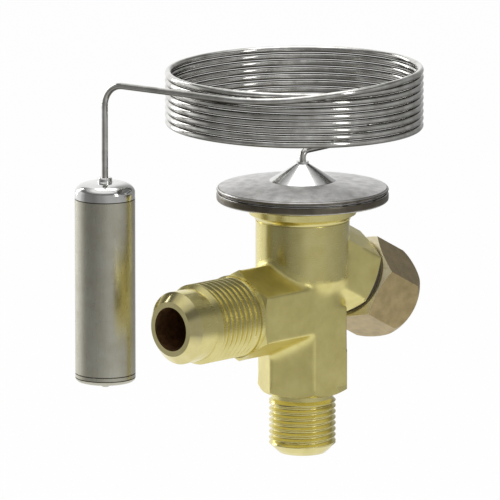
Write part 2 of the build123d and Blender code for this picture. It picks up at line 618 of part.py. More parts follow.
def bulb_pieces(foot):
    """The bulb hangs on the leg: a drawn shell between a domed top cap and a bottom cap."""
    top = foot.Z + TOP_HUB_LEN
    low = top - BULB_LEN
    frame = Plane(origin=(foot.X, foot.Y, 0))
    seam, lower_seam = top - TOP_CAP_LEN, low + BOTTOM_CAP_LEN
    shell = ring(BULB_R - BULB_WALL, BULB_R, lower_seam, seam, frame=frame)
    skirt, dome = seam + TOP_CAP_SKIRT, top - TOP_HUB_LEN
    drop = dome - skirt
    bore = TUBE_R + SLIP
    bow = sin(radians(45))
    outer_mid = (TOP_CAP_FLAT_R + (BULB_R - TOP_CAP_FLAT_R) * bow, 0, skirt + drop * bow)
    inner_r, inner_z = BULB_R - BULB_WALL, dome - BULB_WALL
    inner_mid = (TOP_CAP_FLAT_R + (inner_r - TOP_CAP_FLAT_R) * bow, 0,
                 skirt + (inner_z - skirt) * bow)
    outline = [Line((inner_r, 0, seam), (BULB_R, 0, seam)), Line((BULB_R, 0, seam), (BULB_R, 0, skirt)),
               ThreePointArc((BULB_R, 0, skirt), outer_mid, (TOP_CAP_FLAT_R, 0, dome)),
               Line((TOP_CAP_FLAT_R, 0, dome), (TOP_HUB_R, 0, dome)),
               Line((TOP_HUB_R, 0, dome), (TOP_HUB_R, 0, top)), Line((TOP_HUB_R, 0, top), (bore, 0, top)),
               Line((bore, 0, top), (bore, 0, inner_z)),
               Line((bore, 0, inner_z), (TOP_CAP_FLAT_R, 0, inner_z)),
               ThreePointArc((TOP_CAP_FLAT_R, 0, inner_z), inner_mid, (inner_r, 0, skirt)),
               Line((inner_r, 0, skirt), (inner_r, 0, seam))]
    top_cap = frame.location * revolve(make_face(outline), Axis.Z)
    bottom_cap = lathe((0, low), (BULB_R - BOTTOM_EDGE, low), (BULB_R, low + BOTTOM_EDGE),
                       (BULB_R, lower_seam), (0, lower_seam), frame=frame)
    nib = lathe((0, low - NIB_LEN), (NIB_R / 2, low - NIB_LEN), (NIB_R, low - NIB_LEN / 2),
                (NIB_R, low), (0, low), frame=frame)
    return shell, top_cap, bottom_cap + nib


capillary_tube, bulb_top = capillary()
bulb_shell, bulb_top_cap, bulb_bottom_cap = bulb_pieces(bulb_top)

NODES = {
    "valve_body": valve_body(),
    "orifice_seal": orifice_seal(),
    "orifice_holder": orifice_holder(),
    "valve_cone": valve_cone(),
    "cone_spring": cone_spring(),
    "cone_spring_cup": cone_spring_cup(),
    "strainer_ring": strainer_ring(),
    "inlet_strainer": inlet_strainer(),
    "push_rod": push_rod(),
    "push_rod_bush": push_rod_bush(),
    "spring_seat": spring_seat(),
    "superheat_spring": superheat_spring(),
    "diaphragm_pad": diaphragm_pad(),
    "diaphragm": diaphragm(),
    "element_lower_cover": element_lower_cover(),
    "element_upper_cover": element_upper_cover(),
    "charge_cone": charge_cone(),
    "capillary_tube": capillary_tube,
    "bulb_shell": bulb_shell,
    "bulb_top_cap": bulb_top_cap,
    "bulb_bottom_cap": bulb_bottom_cap,
    "setting_spindle": setting_spindle(),
    "spindle_seal_ring": spindle_seal_ring(),
    "spindle_washer": spindle_washer(),
    "spindle_gland_nut": spindle_gland_nut(),
    "cap_gasket": cap_gasket(),
    "cap_nut": cap_nut(),
}

for name, shape in NODES.items():
    export_step(shape, "parts/" + name + ".step")
    box = shape.bounding_box()
    print(name, len(shape.solids()), "solid", round(shape.volume, 2), "mm3", box.min, box.max)
print("bulb axis", bulb_top, "length of tube", round(capillary_tube.volume / (pi * TUBE_R ** 2), 1))
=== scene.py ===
# %% [markdown]
# # A thermostatic expansion valve
#
# This valve meters liquid refrigerant. A brass body carries two flare fittings and a capped
# setting spindle. A steel element on top is joined by a coiled capillary to a sensing bulb.
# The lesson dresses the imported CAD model: it adds the threads, the soft edges, the weld lines
# and the metal finishes that plain solids leave out. Lengths are in metres throughout, and MM
# turns millimetres into them.

# %% Load the frame
import json
import math

import bmesh
import bpy
from mathutils import Matrix, Vector
from mathutils.bvhtree import BVHTree


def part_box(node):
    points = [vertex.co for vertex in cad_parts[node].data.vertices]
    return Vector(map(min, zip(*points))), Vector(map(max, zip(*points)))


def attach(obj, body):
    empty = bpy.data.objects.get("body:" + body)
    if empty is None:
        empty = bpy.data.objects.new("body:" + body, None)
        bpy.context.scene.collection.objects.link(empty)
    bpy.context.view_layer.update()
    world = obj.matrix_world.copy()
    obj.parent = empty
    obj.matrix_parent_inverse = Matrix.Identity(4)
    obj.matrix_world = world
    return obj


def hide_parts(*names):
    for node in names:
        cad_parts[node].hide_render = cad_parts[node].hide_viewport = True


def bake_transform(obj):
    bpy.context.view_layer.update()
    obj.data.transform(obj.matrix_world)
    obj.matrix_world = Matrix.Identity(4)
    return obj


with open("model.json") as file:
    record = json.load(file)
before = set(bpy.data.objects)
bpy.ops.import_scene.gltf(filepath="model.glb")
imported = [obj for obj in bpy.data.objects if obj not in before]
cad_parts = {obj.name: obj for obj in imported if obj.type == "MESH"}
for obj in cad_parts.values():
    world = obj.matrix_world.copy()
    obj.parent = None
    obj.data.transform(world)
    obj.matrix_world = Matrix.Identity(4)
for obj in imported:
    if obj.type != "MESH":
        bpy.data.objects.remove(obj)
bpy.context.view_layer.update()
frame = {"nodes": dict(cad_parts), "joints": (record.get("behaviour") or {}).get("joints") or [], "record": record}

MM = 0.001
record = frame["record"]
nodes = frame["nodes"]
joints = {joint["name"]: joint for joint in frame["joints"]}
mounts = {mount["name"]: mount for mount in record["mounts"]}

# %% [markdown]
# ## The places that the pieces share
#
# Every dressed piece sits on the solids, so its places are read from the frame and from the
# record's mounts. Each turned piece has an axis: a point on it, and the way it points.

# %% Places read from the frame
UP = Vector((0, 0, 1))
INLET_R = mounts["inlet_thread"]["dims"]["r_mm"] * MM
OUTLET_R = mounts["outlet_thread"]["dims"]["r_mm"] * MM
OUTLET_BORE_R = mounts["outlet_bore"]["dims"]["r_mm"] * MM
OUTLET_Z = mounts["outlet_thread"]["pos_m"][2]
NECK_R = 8.0 * MM
SPINDLE_AXIS = Vector(joints["cap_turn"]["axis"]).normalized()
SPINDLE_POINT = Vector(joints["cap_turn"]["pos_m"])
body_low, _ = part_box("valve_body")


def axis_frame(point, way):
    """A matrix whose Z is the way of an axis and whose origin is a point on it."""
    turn = UP.rotation_difference(way).to_matrix().to_4x4()
    return Matrix.Translation(point) @ turn


INLET_FRAME = axis_frame(Vector((0, 0, 0)), UP)
OUTLET_FRAME = axis_frame(Vector((0, 0, OUTLET_Z)), Vector((-1, 0, 0)))
SPINDLE_FRAME = axis_frame(SPINDLE_POINT, SPINDLE_AXIS)
print("outlet axis", round(OUTLET_Z / MM, 2), "mm up, spindle crosses at",
      round(SPINDLE_POINT.z / MM, 2), "mm")

# %% [markdown]
# ## Camera
#
# A long lens from a little above, turned 45 degrees, shows the outlet on the left and the cap on
# the right. A long lens keeps parallel edges almost parallel, as in a catalogue.

# %% Camera
VIEW_TURN = math.radians(-45)
VIEW_RISE = math.radians(11.2)
DISTANCE = 2.2
IMAGE_PX = 500
PX_PER_MM = 4.22        # how large the valve is drawn
SENSOR = 36.0           # width of the film, in millimetres
TARGET = Vector((-8.8, 8.8, 48.7)) * MM

toward = Vector((math.sin(VIEW_TURN) * math.cos(VIEW_RISE),
                 -math.cos(VIEW_TURN) * math.cos(VIEW_RISE), math.sin(VIEW_RISE)))
camera_data = bpy.data.cameras.new("camera")
camera_data.sensor_width = SENSOR
camera_data.lens = SENSOR * PX_PER_MM * DISTANCE / MM / IMAGE_PX
camera_data.clip_end = 10
camera = bpy.data.objects.new("camera", camera_data)
bpy.context.scene.collection.objects.link(camera)
camera.location = TARGET + toward * DISTANCE
camera.rotation_euler = (-toward).to_track_quat("-Z", "Y").to_euler()
bpy.context.scene.camera = camera
print("lens", round(camera_data.lens), "mm")

# %% [markdown]
# ## Studio
#
# Metal shows what stands round it, so the room matters more than the lamps. One soft lamp hangs
# high behind the valve. A narrow one stands behind on the left and one in front on the right, and
# each draws a thin line on the cylinders. The floor lies a little below the valve, so the valve
# floats and its shadow stays faint.

# %% Studio lamps
LAMPS = (
    # name, azimuth, elevation, distance, width, height, watts
    ("lamp_top", 135, 74, 0.90, 0.50, 0.40, 1.2),
    ("lamp_left", -178, 14, 0.90, 0.16, 0.80, 1.6),
    ("lamp_right", 0, 22, 0.90, 0.14, 0.60, 0.9),
)


def link(obj):
    bpy.context.scene.collection.objects.link(obj)
    return obj


def direction(azimuth, elevation):
    """The way from the object to a lamp. Azimuth 0 is in front of a viewer who looks along +Y."""
    a, e = math.radians(azimuth), math.radians(elevation)
    return Vector((math.sin(a) * math.cos(e), -math.cos(a) * math.cos(e), math.sin(e)))


def add_lamp(name, azimuth, elevation, distance, width, height, power):
    data = bpy.data.lights.new(name, "AREA")
    data.shape = "RECTANGLE"
    data.size, data.size_y = width, height
    data.energy = power
    lamp = link(bpy.data.objects.new(name, data))
    way = direction(azimuth, elevation)
    lamp.location = TARGET + way * distance
    lamp.rotation_euler = (-way).to_track_quat("-Z", "Y").to_euler()
    return lamp


for row in LAMPS:
    add_lamp(*row)
print(len(LAMPS), "lamps round the valve")

# %% Studio floor
FLOOR_DROP = 0.060      # how far the floor lies below the inlet
FLOOR_SIZE = 6.0

floor_mesh = bpy.data.meshes.new("floor")
half = FLOOR_SIZE / 2
floor_mesh.from_pydata([(-half, -half, 0), (half, -half, 0), (half, half, 0), (-half, half, 0)],
                       [], [(0, 1, 2, 3)])
floor = link(bpy.data.objects.new("floor", floor_mesh))
floor.location.z = body_low.z - FLOOR_DROP
print("floor", round(FLOOR_DROP / MM), "mm below the inlet")

# %% [markdown]
# ## The room's walls
#
# The world is painted by bearing. A bearing of 0.5 is the camera's side of the room, 0.25 its
# left, 0.75 its right, and both ends are the white wall behind the valve. That wall makes the
# bright rims of the cylinders. The left of the room is dark and the rest is paler, which gives
# each cylinder a dark band and a pale band. Higher up the walls fade into a dark ceiling with a
# pale middle, but the wall behind stays white to the top. A camera ray sees plain white, so that
# the background stays clean.

# %% The room's paint
WALL = (
    (0.00, 1.00), (0.13, 1.00), (0.20, 0.85), (0.245, 0.45), (0.28, 0.22), (0.372, 0.18),
    (0.456, 0.30), (0.544, 0.50), (0.636, 0.48), (0.725, 0.40), (0.817, 0.34), (0.90, 0.28),
    (0.95, 0.40), (1.00, 1.00),
)
UPPER = ((0.00, 0.14), (0.66, 0.16), (0.80, 0.55), (0.90, 1.00))   # by the sine of the height
WALL_TOP = (0.34, 0.52)     # the sines between which the walls fade into the upper part
BACK_WALL = ((0.00, 1.0), (0.06, 1.0), (0.10, 0.0), (0.89, 0.0), (0.93, 1.0), (1.00, 1.0))
print("walls of", len(WALL), "stops, ceiling of", len(UPPER))

# %% Helpers that join shader nodes
def wire(tree, source, target):
    tree.links.new(source, target)


def arithmetic(tree, operation, first, second):
    """A maths node. Each input is a socket or a number."""
    node = tree.nodes.new("ShaderNodeMath")
    node.operation = operation
    for socket, value in zip(node.inputs, (first, second)):
        if isinstance(value, (int, float)):
            socket.default_value = value
        else:
            wire(tree, value, socket)
    return node.outputs[0]


def grey_ramp(tree, value, stops):
    """A ramp of greys: each stop is a place and a brightness."""
    ramp = tree.nodes.new("ShaderNodeValToRGB")
    ramp.color_ramp.interpolation = "EASE"
    elements = ramp.color_ramp.elements
    while len(elements) < len(stops):
        elements.new(0.5)
    for element, (place, _) in zip(elements, stops):
        element.position = place
    for element, (_, grey) in zip(elements, stops):
        element.color = (grey, grey, grey, 1)
    wire(tree, value, ramp.inputs[0])
    return ramp.outputs["Color"]


print("wires, sums and ramps ready")

# %% Helpers that mix and measure
def spread(tree, value, low, high, from_low=0.3, from_high=0.7):
    """Stretch a value from one span to another, held at both ends."""
    node = tree.nodes.new("ShaderNodeMapRange")
    node.inputs["From Min"].default_value = from_low
    node.inputs["From Max"].default_value = from_high
    node.inputs["To Min"].default_value = low
    node.inputs["To Max"].default_value = high
    wire(tree, value, node.inputs["Value"])
    return node.outputs["Result"]


MIX_A, MIX_B, MIX_RESULT = 6, 7, 2      # the colour sockets of a Mix node


def mix_colours(tree, amount, first, second):
    """A mix of two colours. Each is a socket or a colour."""
    node = tree.nodes.new("ShaderNodeMix")
    node.data_type = "RGBA"
    for socket, colour in zip((node.inputs[MIX_A], node.inputs[MIX_B]), (first, second)):
        if isinstance(colour, tuple):
            socket.default_value = (*colour, 1)
        else:
            wire(tree, colour, socket)
    wire(tree, amount, node.inputs[0])
    return node.outputs[MIX_RESULT]


def bearing_share(tree, position):
    """The bearing of a position round the object, from 0 to 1. Also gives its height."""
    split = tree.nodes.new("ShaderNodeSeparateXYZ")
    wire(tree, position, split.inputs[0])
    east, north, height = split.outputs
    rightward = arithmetic(tree, "SUBTRACT", east, north)
    camera_side = arithmetic(tree, "MULTIPLY", arithmetic(tree, "ADD", east, north), -1)
    bearing = arithmetic(tree, "ARCTAN2", rightward, camera_side)
    return arithmetic(tree, "ADD", arithmetic(tree, "DIVIDE", bearing, math.tau), 0.5), height


print("mixes and bearings ready")

# %% World
world = bpy.data.worlds.new("studio")
bpy.context.scene.world = world
world.use_nodes = True
tree = world.node_tree
tree.nodes.clear()
coord = tree.nodes.new("ShaderNodeTexCoord")
share, height = bearing_share(tree, coord.outputs["Generated"])
walls = grey_ramp(tree, share, WALL)
upper = grey_ramp(tree, height, UPPER)
back = grey_ramp(tree, share, BACK_WALL)
lift = arithmetic(tree, "SUBTRACT", spread(tree, height, 0, 1, *WALL_TOP), back)
lift.node.use_clamp = True
overhead = mix_colours(tree, lift, walls, upper)
room = tree.nodes.new("ShaderNodeBackground")
white = tree.nodes.new("ShaderNodeBackground")
white.inputs["Color"].default_value = (1, 1, 1, 1)
path = tree.nodes.new("ShaderNodeLightPath")
mix = tree.nodes.new("ShaderNodeMixShader")
out = tree.nodes.new("ShaderNodeOutputWorld")
wire(tree, overhead, room.inputs["Color"])
wire(tree, path.outputs["Is Camera Ray"], mix.inputs[0])
wire(tree, room.outputs[0], mix.inputs[1])
wire(tree, white.outputs[0], mix.inputs[2])
wire(tree, mix.outputs[0], out.inputs["Surface"])
bpy.context.scene.view_settings.view_transform = "Standard"
print("world painted by bearing and height")

# %% [markdown]
# ## The floor's paint
#
# The camera looks down a little, so an upright face mirrors the floor and not the wall. The floor
# is therefore painted by bearing too, for glossy rays only, with a bright patch near the valve. A
# camera ray sees white, and a small share stays plain, so that the shadow shows.

# %% Floor
NEAR_FLOOR, FAR_FLOOR = 0.13, 0.48      # distances over which the bright patch fades
NEAR_GLOW = 0.92        # brightness of that patch
FLOOR_GLOW = 0.97       # share of the floor's white that no shadow darkens


def new_material(name):
    """A material with its node tree and its Principled shader."""
    material = bpy.data.materials.new(name)
    material.use_nodes = True
    return material, material.node_tree, material.node_tree.nodes["Principled BSDF"]


floor_material, tree, shader = new_material("floor_white")
shader.inputs["Base Color"].default_value = (0.9, 0.9, 0.9, 1)
shader.inputs["Roughness"].default_value = 0.9
glow = tree.nodes.new("ShaderNodeEmission")
path = tree.nodes.new("ShaderNodeLightPath")
seen = arithmetic(tree, "MAXIMUM", path.outputs["Is Camera Ray"], path.outputs["Is Glossy Ray"])
coord = tree.nodes.new("ShaderNodeTexCoord")
share, _ = bearing_share(tree, coord.outputs["Object"])
painted = grey_ramp(tree, share, WALL)
length = tree.nodes.new("ShaderNodeVectorMath")
length.operation = "LENGTH"
wire(tree, coord.outputs["Object"], length.inputs[0])
near = spread(tree, length.outputs["Value"], NEAR_GLOW, 0, NEAR_FLOOR, FAR_FLOOR)
brightness = arithmetic(tree, "MAXIMUM", arithmetic(tree, "MAXIMUM", near, painted),
                        path.outputs["Is Camera Ray"])
wire(tree, brightness, glow.inputs["Strength"])
mix = tree.nodes.new("ShaderNodeMixShader")
wire(tree, arithmetic(tree, "MULTIPLY", seen, FLOOR_GLOW), mix.inputs[0])
wire(tree, shader.outputs[0], mix.inputs[1])
wire(tree, glow.outputs[0], mix.inputs[2])
wire(tree, mix.outputs[0], tree.nodes["Material Output"].inputs["Surface"])
floor_mesh.materials.append(floor_material)
print("floor painted, bright to", round(NEAR_FLOOR / MM), "mm")

# %% [markdown]
# ## Metal finishes
#
# One recipe serves all the metals. Broad noise lets the colour drift towards a stain, as
# handling and oxide do. Fine noise varies the roughness and raises a faint skin. A turned
# finish stretches its noise round the lathe's axis, so that fine rings run round the part. The
# capillary gets painted shade: its skin is darker where it faces down, so that each turn of the
# coil stands out.

# %% Noise
UNDERSIDE_SHADE = (-0.55, 0.05)       # the normal's Z at which the painted shade on skin facing down is full, and gone


def noise(tree, coordinates, scale, detail=4.0, roughness=0.55):
    node = tree.nodes.new("ShaderNodeTexNoise")
    node.inputs["Scale"].default_value = scale
    node.inputs["Detail"].default_value = detail
    node.inputs["Roughness"].default_value = roughness
    wire(tree, coordinates, node.inputs["Vector"])
    return node.outputs["Fac"]


print("undersides fade from", UNDERSIDE_SHADE[0], "to", UNDERSIDE_SHADE[1])

# %% Metal recipe
def metal(name, colour, stain, rough, skin_scale, skin_depth, patch_scale=260, stretch=(1, 1, 1),
          underside_shade=None):
    """A metal whose colour drifts towards a stain, with roughness from rough[0] to rough[1].
    underside_shade is a colour of painted shade for skin that faces down."""
    material, tree, shader = new_material(name)
    coord = tree.nodes.new("ShaderNodeTexCoord")
    scale = tree.nodes.new("ShaderNodeMapping")
    scale.inputs["Scale"].default_value = stretch
    wire(tree, coord.outputs["Object"], scale.inputs["Vector"])
    patches = noise(tree, coord.outputs["Object"], patch_scale)
    grain = noise(tree, scale.outputs["Vector"], skin_scale, 3.0, 0.6)
    skin = mix_colours(tree, spread(tree, patches, 0, 1), colour, stain)
    # painted shade: the colour darkens towards a dark one where the normal faces down
    if underside_shade:
        facing = tree.nodes.new("ShaderNodeSeparateXYZ")
        wire(tree, tree.nodes.new("ShaderNodeNewGeometry").outputs["Normal"],
             facing.inputs["Vector"])
        skin = mix_colours(tree, spread(tree, facing.outputs["Z"], 0, 1, *UNDERSIDE_SHADE),
                           underside_shade, skin)
    wire(tree, skin, shader.inputs["Base Color"])
    wire(tree, spread(tree, grain, *rough), shader.inputs["Roughness"])
    bump = tree.nodes.new("ShaderNodeBump")
    bump.inputs["Strength"].default_value = 1.0
    bump.inputs["Distance"].default_value = skin_depth
    wire(tree, grain, bump.inputs["Height"])
    wire(tree, bump.outputs["Normal"], shader.inputs["Normal"])
    shader.inputs["Metallic"].default_value = 1.0
    return material


print("metal recipe ready")

# %% [markdown]
# ## The valve's finishes
#
# The body is hot-forged brass, blasted and then machined at its ends, so it is a pale, slightly
# green yellow with a soft sheen. Its flare seats are polished and its bores are tarnished. The cap
# is darker bar brass. Its turned mouth is painted pale, a painted highlight along the chamfer on
# top of the turned finish. The element and the bulb are stainless steel, drawn
# and satin, with bright polished ends and dark weld lines.

# %% Brass and copper
forged = metal("forged_brass", (0.82, 0.735, 0.31), (0.70, 0.62, 0.24), (0.32, 0.44), 5200,
               0.00002)
turned = metal("turned_brass", (0.78, 0.70, 0.32), (0.70, 0.62, 0.25), (0.18, 0.28), 2600, 0.000005,
               stretch=(0.15, 0.15, 4))
seat_brass = metal("seat_brass", (0.80, 0.72, 0.38), (0.70, 0.62, 0.28), (0.08, 0.15), 2600,
                   0.000004)
# painted highlight: the turned mouth is much paler than brass, so its chamfer shows a bright line
mouth_highlight = metal("mouth_highlight", (0.95, 0.88, 0.66), (0.88, 0.80, 0.56), (0.42, 0.55), 2600,
                    0.000004)
tarnished = metal("tarnished_brass", (0.62, 0.40, 0.20), (0.34, 0.20, 0.10), (0.40, 0.60), 3000,
                  0.00004, patch_scale=700)
cap_finish = metal("cap_brass", (0.50, 0.39, 0.20), (0.36, 0.28, 0.14), (0.26, 0.40), 3800, 0.00003,
                   patch_scale=420)
copper = metal("copper_seal", (0.72, 0.42, 0.28), (0.60, 0.34, 0.22), (0.3, 0.45), 3000, 0.00001)
print("six finishes of brass and one of copper")

# %% Steel
hard_steel = metal("hard_steel", (0.55, 0.55, 0.57), (0.48, 0.48, 0.50), (0.18, 0.30), 3000,
                   0.00001)
spring_steel = metal("spring_steel", (0.35, 0.35, 0.37), (0.28, 0.28, 0.30), (0.25, 0.4), 3000,
                     0.00001)
sheet = metal("sheet_steel", (0.76, 0.75, 0.74), (0.46, 0.455, 0.44), (0.26, 0.42), 3600, 0.00002,
              patch_scale=420)
rim_dark = metal("rim_steel", (0.20, 0.18, 0.14), (0.12, 0.105, 0.08), (0.30, 0.45), 3600, 0.00002)
bright = metal("bright_steel", (0.80, 0.80, 0.79), (0.68, 0.68, 0.66), (0.08, 0.16), 3600, 0.00001)
# painted shade: the capillary's downward faces are darkened so each turn stands out
tube = metal("tube_steel", (0.86, 0.855, 0.83), (0.48, 0.47, 0.43), (0.05, 0.13), 2600, 0.00001,
             underside_shade=(0.10, 0.095, 0.08))
bulb_skin = metal("bulb_steel", (0.60, 0.59, 0.50), (0.52, 0.50, 0.40), (0.26, 0.36), 3600, 0.00002,
                  stretch=(1, 1, 0.1))
print("seven finishes of steel")

# %% Rubber and fibre
def dull(name, colour, second, roughness, scale):
    """A rubber or fibre: no metal, broken colour, rough."""
    material, tree, shader = new_material(name)
    coord = tree.nodes.new("ShaderNodeTexCoord")
    grain = noise(tree, coord.outputs["Object"], scale)
    wire(tree, mix_colours(tree, spread(tree, grain, 0, 1), colour, second),
         shader.inputs["Base Color"])
    shader.inputs["Roughness"].default_value = roughness
    return material


rubber = dull("seal_rubber", (0.03, 0.03, 0.03), (0.05, 0.05, 0.05), 0.6, 2000)
fibre = dull("gasket_fibre", (0.10, 0.085, 0.06), (0.06, 0.05, 0.035), 0.8, 2600)
print("two dull finishes")

# %% Dress the solids
FINISH_OF_SLOT = {
    "forged_brass": forged, "turned_brass": turned, "cap_brass": cap_finish,
    "copper_seal": copper, "hard_steel": hard_steel, "spring_steel": spring_steel,
    "sheet_steel": sheet, "bright_steel": bright, "tube_steel": tube, "bulb_steel": bulb_skin,
    "seal_rubber": rubber, "gasket_fibre": fibre,
}
slot_of = {row["node"]: row["material_slot"] for row in record["subparts"]}
for name, obj in nodes.items():
    obj.data.materials.clear()
    obj.data.materials.append(FINISH_OF_SLOT[slot_of[name]])
print(len(nodes), "solids dressed")

# %% Smooth shading with true edges
EDGE_ANGLE = math.radians(28)


def smooth(obj, angle=EDGE_ANGLE):
    """Smooth faces, with a break wherever two faces meet at a real edge."""
    for polygon in obj.data.polygons:
        polygon.use_smooth = True
    for edge, sharp in zip(obj.data.edges, sharp_edges(obj.data, angle)):
        edge.use_edge_sharp = sharp


def sharp_edges(mesh, angle):
    """For each edge, whether it is open or turns by more than the angle."""
    faces_of = {}
    for polygon in mesh.polygons:
        for key in polygon.edge_keys:
            faces_of.setdefault(key, []).append(polygon.normal)
    result = []
    for edge in mesh.edges:
        near = faces_of.get(tuple(sorted(edge.vertices)), [])
        result.append(len(near) != 2 or near[0].angle(near[1], 0) > angle)
    return result


for obj in nodes.values():
    smooth(obj)
print("edges kept above", round(math.degrees(EDGE_ANGLE)), "degrees")

# %% [markdown]
# ## Threads
#
# The solid has a plain cylinder for each of its three threads. Those faces are taken out of a copy
# of it, and real helical threads fill their places. A thread is a grid: its columns go round one
# turn, and its rows climb with the helix.

# %% Threads: sizes and profile
THREAD_COLUMNS = 96     # steps round one turn
# one pitch of a 60 degree thread: share of the pitch, share of the depth
THREAD_PROFILE = ((0.0, 0.0), (0.06, 0.0), (0.12, 0.02), (0.29, 0.5), (0.46, 0.97), (0.53, 1.0),
                  (0.60, 1.0), (0.67, 0.97), (0.83, 0.5), (0.97, 0.02))
THREADS = (
    # name, frame, radius, pitch, depth
    ("inlet_thread", INLET_FRAME, INLET_R, 1.411 * MM, 0.80 * MM),
    ("outlet_thread", OUTLET_FRAME, OUTLET_R, 1.5875 * MM, 0.90 * MM),
    ("neck_thread", SPINDLE_FRAME, NECK_R, 1.5 * MM, 0.85 * MM),
)
ON_SURFACE = 0.03 * MM      # how close a corner lies to a surface that it belongs to
WELD = 0.002 * MM           # corners closer than this become one


def thread_depth(turns_along):
    """Depth of the groove as a share, at a place counted in pitches."""
    place = turns_along % 1.0
    points = THREAD_PROFILE + ((1.0, 0.0),)
    for (a, deep_a), (b, deep_b) in zip(points, points[1:]):
        if a <= place <= b:
            return deep_a + (deep_b - deep_a) * (place - a) / (b - a)
    return 0.0


def thread_rows(low, high, pitch):
    """Heights of the rows at bearing 0, from one turn below the thread to one above."""
    first, last = math.floor(low / pitch) - 1, math.ceil(high / pitch) + 1
    return [(n + share) * pitch for n in range(first, last) for share, _ in THREAD_PROFILE]


print(len(THREADS), "threads of", len(THREAD_PROFILE), "rows a pitch")

# %% Threads: the mesh
def thread_mesh(name, frame_matrix, radius, pitch, depth, low, high):
    """A helical thread between two heights. Its rows climb with the helix, and it runs out to
    the full radius at 45 degrees at both ends."""
    rows = thread_rows(low, high, pitch)
    mesh = bmesh.new()
    grid = []
    for step in range(THREAD_COLUMNS + 1):
        turn = step / THREAD_COLUMNS
        angle = math.tau * turn
        column = []
        for row in rows:
            at = min(max(row + turn * pitch, low), high)
            cut = depth * thread_depth(row / pitch)
            r = radius - min(cut, at - low, high - at)
            column.append(mesh.verts.new((r * math.cos(angle), r * math.sin(angle), at)))
        grid.append(column)
    for left, right in zip(grid, grid[1:]):
        for a, b, c, d in zip(left, right, right[1:], left[1:]):
            mesh.faces.new((a, b, c, d))
    bmesh.ops.remove_doubles(mesh, verts=mesh.verts, dist=WELD)
    bmesh.ops.dissolve_degenerate(mesh, edges=mesh.edges, dist=WELD)
    data = bpy.data.meshes.new(name)
    mesh.transform(frame_matrix)
    mesh.to_mesh(data)
    mesh.free()
    return link(bpy.data.objects.new(name, data))


print("thread mesh ready")

# %% Find the plain cylinders
def cylinder_faces(mesh, frame_matrix, radius, low, high):
    """Faces on a cylinder about a frame's axis, between two heights, and their two ends."""
    inverse = frame_matrix.inverted()
    found, heights = [], []
    for face in mesh.faces:
        local = [inverse @ vert.co for vert in face.verts]
        if all(abs(math.hypot(p.x, p.y) - radius) < ON_SURFACE for p in local) and \
                all(low < p.z < high for p in local):
            found.append(face)
            heights += [p.z for p in local]
    return found, min(heights, default=0), max(heights, default=0)


THREAD_SPAN = {
    # where each thread's cylinder is looked for, along its own axis
    "inlet_thread": (1.0 * MM, 14.0 * MM),
    "outlet_thread": (22.9 * MM, 36.5 * MM),
    "neck_thread": (16.8 * MM, 27.6 * MM),
}
print("cylinders to find:", ", ".join(THREAD_SPAN))

# %% Copies and rounded edges
BEVEL = 0.22 * MM
FLAT_TURN = math.radians(0.6)       # faces that turn less than this become one
SAME_CORNER = 0.001 * MM


def copy_of(node_name):
    """A solid's mesh, with the corners that its faces share merged."""
    mesh = bmesh.new()
    mesh.from_mesh(nodes[node_name].data)
    bmesh.ops.remove_doubles(mesh, verts=mesh.verts, dist=SAME_CORNER)
    return mesh


def object_from(mesh, name):
    """A scene object from a bmesh, which is freed."""
    data = bpy.data.meshes.new(name)
    mesh.to_mesh(data)
    mesh.free()
    return link(bpy.data.objects.new(name, data))


def bevel(obj, width):
    """Round every edge that turns by more than 30 degrees."""
    rounding = obj.modifiers.new("edges", "BEVEL")
    rounding.width = width
    rounding.segments = 3
    rounding.limit_method = "ANGLE"
    rounding.angle_limit = math.radians(30)
    rounding.harden_normals = False
    return rounding


print("bevel", round(BEVEL / MM, 2), "mm")

# %% [markdown]
# ## Where the forging ends
#
# Four planes part the forged middle of the body from its machined ends: one above the inlet's
# thread, one at the outlet's shoulder, one at the spindle's boss and one high on the column. The
# forged skin is what lies between them and outside the bores.

# %% The forged zone
ZONE_PLANES = (
    # a point on each plane, and the way to the forged side
    (Vector((0, 0, 16.6 * MM)), UP),
    (Vector((-20.9 * MM, 0, 0)), Vector((1, 0, 0))),
    (SPINDLE_FRAME @ Vector((0, 0, 15.9 * MM)), -SPINDLE_AXIS),
    (Vector((0, 0, 49.0 * MM)), -UP),
)
BORE_ZONE = 8.4 * MM        # radius round each axis within which the skin is a bore's
ON_PLANE = 0.0005 * MM      # how close a corner lies to a plane that cuts there


def forged_depth(point):
    """How far a point lies inside the four planes; below zero it is outside."""
    return min((point - at).dot(way) for at, way in ZONE_PLANES)


def is_forged_skin(point):
    """Whether a point of the body lies between the planes and outside the bores."""
    outlet_r = math.hypot(point.y, point.z - OUTLET_Z)
    spindle = SPINDLE_FRAME.inverted() @ point
    in_bore = (math.hypot(point.x, point.y) < BORE_ZONE or point.x < 0 and outlet_r < BORE_ZONE
               or spindle.z > 0 and math.hypot(spindle.x, spindle.y) < BORE_ZONE)
    return forged_depth(point) > 0 and not in_bore


def part_at_planes(mesh):
    """Cut the faces where they cross the four planes."""
    for at, way in ZONE_PLANES:
        bmesh.ops.bisect_plane(mesh, geom=mesh.verts[:] + mesh.edges[:] + mesh.faces[:],
                               dist=ON_PLANE, plane_co=at, plane_no=way)


def keep_faces(mesh, wanted):
    """Delete the faces that are not wanted, and what hangs loose after that."""
    bmesh.ops.delete(mesh, geom=[f for f in mesh.faces if not wanted(f.calc_center_median())],
                     context="FACES")


print(len(ZONE_PLANES), "planes round the forging")

# %% [markdown]
# ## The forged skin
#
# Hot forging leaves soft hollows where the arms meet the column, because the metal has to flow
# there, and edges that are barely rounded. A voxel remesh gives the skin even faces. Each round
# of smoothing then moves a point towards its neighbours: a full step in a hollow, and only a
# little on an outer edge. Near the machined ends the skin is held to the solid.

# %% Remesh and soften
VOXEL = 0.5 * MM
ROUNDS = 26
STEP = 0.5              # share of the way to its neighbours that a point moves in a round
EDGE_SHARE = 0.10       # how much of a round an outer edge takes
HOLD = 2.2 * MM         # width of the band that is held to the solid


